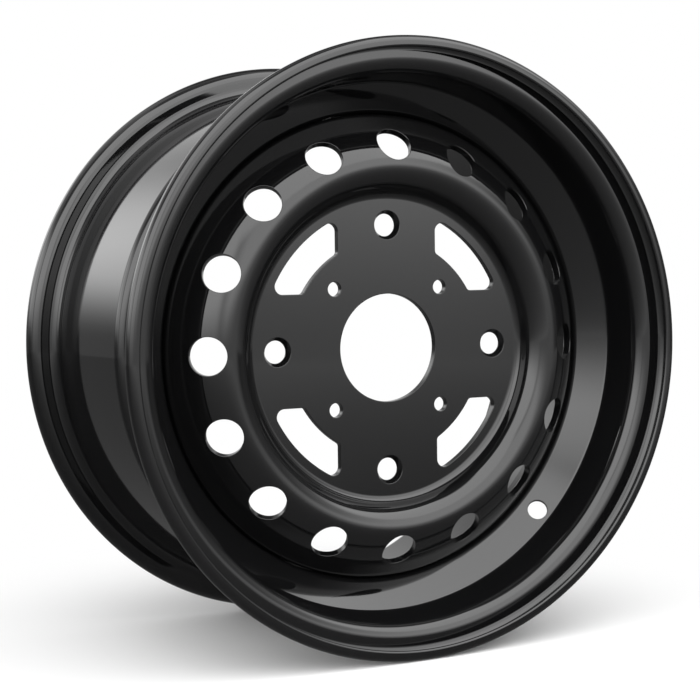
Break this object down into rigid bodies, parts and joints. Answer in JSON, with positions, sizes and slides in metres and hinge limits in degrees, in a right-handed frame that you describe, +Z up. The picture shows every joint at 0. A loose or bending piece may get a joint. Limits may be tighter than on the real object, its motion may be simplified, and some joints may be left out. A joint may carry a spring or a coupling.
{
  "type": "utility vehicle wheel rim",
  "caption": "Gloss black pressed-steel wheel rim with curled flanges, a drop well, a dished vented disc, arched windows, tapered bolt holes and a valve hole.",
  "frame": {"origin": "centre of the wheel: on its axis, midway between the two lips", "axes": "+Y along the spin axis, towards the vehicle (the front, outboard face looks along -Y); +Z up; a bolt hole lies on +X"},
  "size_m": [0.3372, 0.1764, 0.3372],
  "materials": {
    "gloss_black": "gloss"
  },
  "bodies": {
    "root": {"rim_barrel": "gloss_black", "wheel_disc": "gloss_black", "disc_welds": "gloss_black"}
  },
  "joints": []
}
